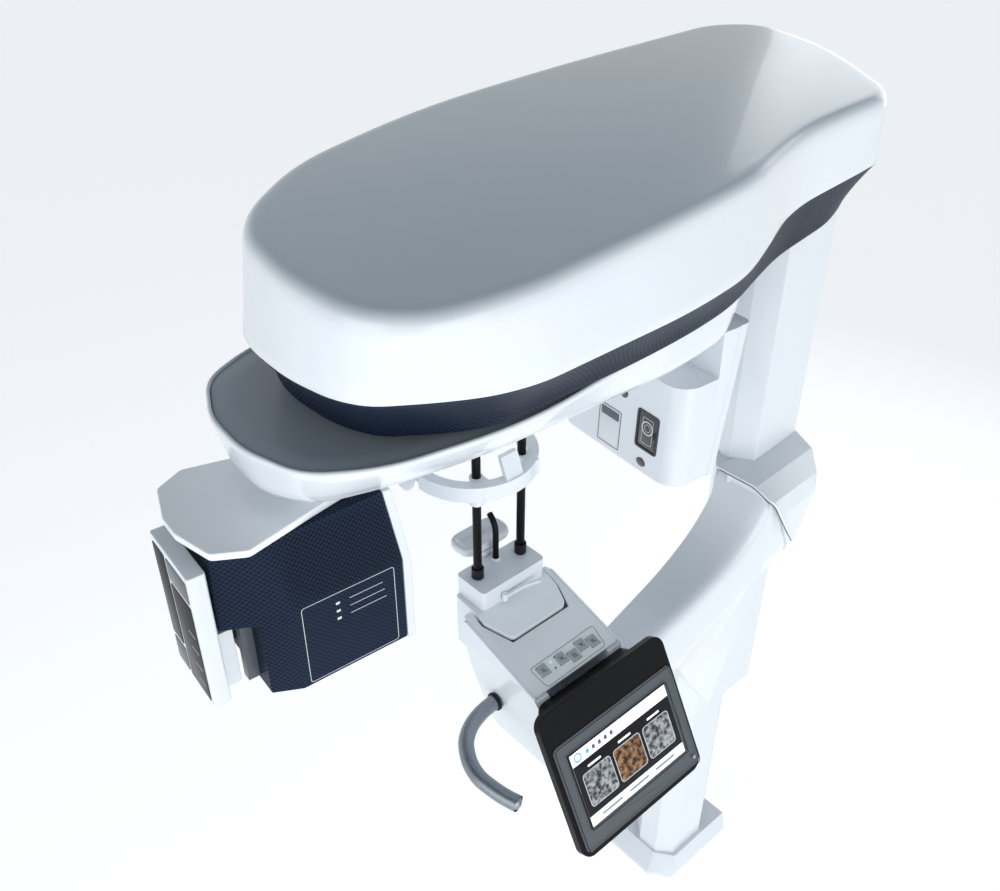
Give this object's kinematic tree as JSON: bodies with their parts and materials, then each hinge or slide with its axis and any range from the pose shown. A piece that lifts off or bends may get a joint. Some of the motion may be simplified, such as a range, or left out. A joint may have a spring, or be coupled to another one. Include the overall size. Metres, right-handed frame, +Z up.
{
  "type": "panoramic dental x-ray machine",
  "caption": "Dental panoramic x-ray machine: lifting column, overhead beam, rotating x-ray arm, head support and tilted touch screen console.",
  "frame": {"origin": "on the floor, on the base plate's underside, below the moving column's middle", "axes": "+Z up; +X from the patient towards the wall behind the column; -Y is the operator's side with the touch screen, +Y the patient's side"},
  "size_m": [1.3814, 0.646, 1.977],
  "materials": {
    "white_plastic": "glossy white painted cover",
    "shell_white": "glossy white moulded shell",
    "slate_plastic": "satin slate grey",
    "navy_plastic": "dark navy with a fine woven texture",
    "black_gloss": "piano black",
    "grey_bezel": "satin mid grey",
    "console_grey": "satin pale grey",
    "key_grey": "satin grey",
    "tube_metal": "metallic grey-blue paint",
    "steel": "machined",
    "frame_steel": "powder coat",
    "aluminium": "extruded, satin anodised",
    "display_glass": "lit display under glass",
    "dark_glass": "dark window",
    "belt_rubber": "toothed belt",
    "clear_plastic": "pale translucent plastic"
  },
  "bodies": {
    "column_base": {"base_plate": "frame_steel", "base_cover": "white_plastic", "fixed_column": "aluminium", "guide_rails": "steel", "pedestal_cover": "white_plastic", "lift_actuator": "frame_steel", "wall_bracket": "frame_steel"},
    "lift": {"lift_actuator_rod": "steel", "carriage_cover": "white_plastic", "column_cover": "white_plastic", "lift_frame": "frame_steel", "guide_blocks": "steel", "collar_cover": "white_plastic", "arm_cover": "white_plastic", "arm_beam": "frame_steel", "console_body": "shell_white", "console_top": "console_grey", "monitor_housing": "black_gloss", "monitor_frame": "grey_bezel", "touch_screen": "display_glass", "handle": "tube_metal", "beam_top_cover": "shell_white", "beam_trim": "navy_plastic", "beam_frame": "frame_steel", "stage_rails": "steel"},
    "stage_x": {"x_slide": "aluminium"},
    "stage_y": {"y_slide": "aluminium", "rotation_motor": "frame_steel", "rotation_belt": "belt_rubber"},
    "belt_pulley": {"motor_pulley": "aluminium"},
    "c_arm": {"spindle": "steel", "bridge_shell": "shell_white", "bridge_plate": "slate_plastic", "bridge_frame": "aluminium", "tube_cover": "shell_white", "tube_rear_cover": "shell_white", "xray_generator": "frame_steel", "collimator_window": "dark_glass", "laser_windows": "dark_glass", "detector_body": "navy_plastic", "detector_cap": "shell_white", "detector_panel": "shell_white", "sensor_rails": "grey_bezel"},
    "jaw_left": {"collimator_jaw_left": "steel"},
    "jaw_right": {"collimator_jaw_right": "steel"},
    "sensor": {"sensor_module": "shell_white"},
    "chin_rest": {"chin_shuttle": "shell_white", "chin_block": "shell_white", "head_rods": "black_gloss", "head_ring": "clear_plastic"},
    "bite": {"bite_rod": "black_gloss"},
    "chin": {"chin_cup": "clear_plastic"},
    "temple_left": {"temple_pad_left": "clear_plastic"},
    "temple_right": {"temple_pad_right": "clear_plastic"},
    "lever": {"release_lever": "shell_white"},
    "key_1": {"button_1": "key_grey"},
    "key_2": {"button_2": "key_grey"},
    "key_3": {"button_3": "key_grey"},
    "key_4": {"button_4": "key_grey"},
    "key_5": {"button_5": "key_grey"}
  },
  "joints": [
    {"name": "lift_height", "type": "slide", "parent": "column_base", "child": "lift", "axis": [0, 0, 1], "range_m": [-0.51, 0.267]},
    {"name": "stage_along", "type": "slide", "parent": "lift", "child": "stage_x", "axis": [1, 0, 0], "range_m": [-0.03, 0.02]},
    {"name": "stage_across", "type": "slide", "parent": "stage_x", "child": "stage_y", "axis": [0, 1, 0], "range_m": [0, 0.08]},
    {"name": "arm_turn", "type": "hinge", "parent": "stage_y", "child": "c_arm", "pos_m": [-0.598, -0.015, 1.7], "axis": [0, 0, 1], "range_deg": [-175, 185]},
    {"name": "pulley_turn", "type": "hinge", "parent": "stage_y", "child": "belt_pulley", "pos_m": [-0.748, -0.015, 1.77], "axis": [0, 0, 1], "range_deg": [-700, 740]},
    {"name": "jaw_left_slide", "type": "slide", "parent": "c_arm", "child": "jaw_left", "axis": [0.0872, 0.9962, 0], "range_m": [0, 0.012]},
    {"name": "jaw_right_slide", "type": "slide", "parent": "c_arm", "child": "jaw_right", "axis": [0.0872, 0.9962, 0], "range_m": [-0.012, 0]},
    {"name": "sensor_slide", "type": "slide", "parent": "c_arm", "child": "sensor", "axis": [0, 0, -1], "range_m": [0, 0.1]},
    {"name": "chin_height", "type": "slide", "parent": "lift", "child": "chin_rest", "axis": [0, 0, 1], "range_m": [0, 0.05]},
    {"name": "bite_pull", "type": "slide", "parent": "chin_rest", "child": "bite", "axis": [0, 0, 1], "range_m": [0, 0.035]},
    {"name": "cup_pull", "type": "slide", "parent": "chin_rest", "child": "chin", "axis": [0, 0, 1], "range_m": [0, 0.03]},
    {"name": "temple_left_turn", "type": "hinge", "parent": "chin_rest", "child": "temple_left", "pos_m": [-0.706, 0.052, 1.503], "axis": [0, 0, 1], "range_deg": [-20, 0]},
    {"name": "temple_right_turn", "type": "hinge", "parent": "chin_rest", "child": "temple_right", "pos_m": [-0.518, 0.052, 1.503], "axis": [0, 0, 1], "range_deg": [0, 20]},
    {"name": "lever_turn", "type": "hinge", "parent": "chin_rest", "child": "lever", "pos_m": [-0.636, -0.0515, 1.2965], "axis": [0, 0, 1], "range_deg": [-25, 0]},
    {"name": "key_1_press", "type": "slide", "parent": "lift", "child": "key_1", "axis": [0, 0.2874, -0.9578], "range_m": [0, 0.0015], "stiffness_N_per_m": 400, "springref_m": -0.0008},
    {"name": "key_2_press", "type": "slide", "parent": "lift", "child": "key_2", "axis": [0, 0.2874, -0.9578], "range_m": [0, 0.0015], "stiffness_N_per_m": 400, "springref_m": -0.0008},
    {"name": "key_3_press", "type": "slide", "parent": "lift", "child": "key_3", "axis": [0, 0.2874, -0.9578], "range_m": [0, 0.0015], "stiffness_N_per_m": 400, "springref_m": -0.0008},
    {"name": "key_4_press", "type": "slide", "parent": "lift", "child": "key_4", "axis": [0, 0.2874, -0.9578], "range_m": [0, 0.0015], "stiffness_N_per_m": 400, "springref_m": -0.0008},
    {"name": "key_5_press", "type": "slide", "parent": "lift", "child": "key_5", "axis": [0, 0.2874, -0.9578], "range_m": [0, 0.0015], "stiffness_N_per_m": 400, "springref_m": -0.0008}
  ],
  "couplings": [
    {"joint": "pulley_turn", "follows": "arm_turn", "ratio": 4},
    {"joint": "jaw_right_slide", "follows": "jaw_left_slide", "ratio": -1},
    {"joint": "temple_right_turn", "follows": "temple_left_turn", "ratio": -1}
  ]
}
